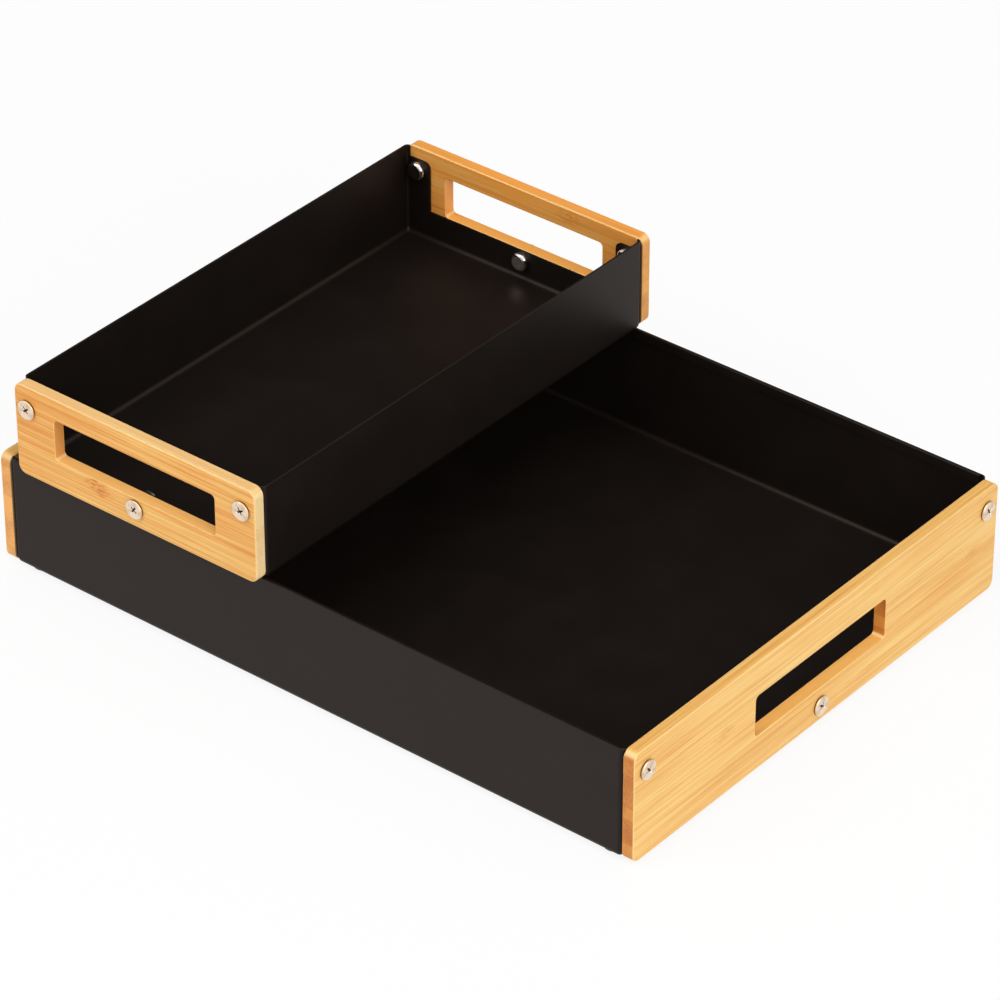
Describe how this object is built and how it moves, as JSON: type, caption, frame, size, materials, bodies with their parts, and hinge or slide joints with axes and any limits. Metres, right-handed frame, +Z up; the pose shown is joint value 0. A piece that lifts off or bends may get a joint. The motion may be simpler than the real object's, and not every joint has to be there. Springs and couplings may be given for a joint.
{
  "type": "tiered desk tray",
  "caption": "Tiered desk tray: a narrow open tray of black folded steel with bamboo handle panels rests across a wide one like it and slides along its walls.",
  "frame": {"origin": "on the desk, under the middle of the lower tray", "axes": "+X along the lower tray, towards the end that the upper tray leaves open at rest, +Y from its front wall to its back wall, +Z up"},
  "size_m": [0.3426, 0.2626, 0.1011],
  "materials": {
    "lower_black": "satin black powder coat",
    "upper_black": "satin black powder coat",
    "lower_bamboo": "clear satin lacquer",
    "upper_bamboo": "clear satin lacquer",
    "nickel": "nickel plated",
    "cap_nut": "bright chrome",
    "rubber": "matt black"
  },
  "bodies": {
    "lower_tray": {"lower_tray_shell": "lower_black", "lower_left_panel": "lower_bamboo", "lower_right_panel": "lower_bamboo", "lower_screw_right_front": "nickel", "lower_nut_right_front": "cap_nut", "lower_screw_right_middle": "nickel", "lower_nut_right_middle": "cap_nut", "lower_screw_right_back": "nickel", "lower_nut_right_back": "cap_nut", "lower_screw_left_front": "nickel", "lower_nut_left_front": "cap_nut", "lower_screw_left_middle": "nickel", "lower_nut_left_middle": "cap_nut", "lower_screw_left_back": "nickel", "lower_nut_left_back": "cap_nut", "lower_foot_front_left": "rubber", "lower_foot_front_right": "rubber", "lower_foot_back_left": "rubber", "lower_foot_back_right": "rubber"},
    "upper_tray": {"upper_tray_shell": "upper_black", "upper_front_panel": "upper_bamboo", "upper_back_panel": "upper_bamboo", "upper_screw_front_left": "nickel", "upper_nut_front_left": "cap_nut", "upper_screw_front_middle": "nickel", "upper_nut_front_middle": "cap_nut", "upper_screw_front_right": "nickel", "upper_nut_front_right": "cap_nut", "upper_screw_back_left": "nickel", "upper_nut_back_left": "cap_nut", "upper_screw_back_middle": "nickel", "upper_nut_back_middle": "cap_nut", "upper_screw_back_right": "nickel", "upper_nut_back_right": "cap_nut", "upper_foot_front_left": "rubber", "upper_foot_front_right": "rubber", "upper_foot_back_left": "rubber", "upper_foot_back_right": "rubber"}
  },
  "joints": [
    {"name": "upper_tray_slide", "type": "slide", "parent": "lower_tray", "child": "upper_tray", "axis": [1, 0, 0], "range_m": [-0.016, 0.189]}
  ]
}
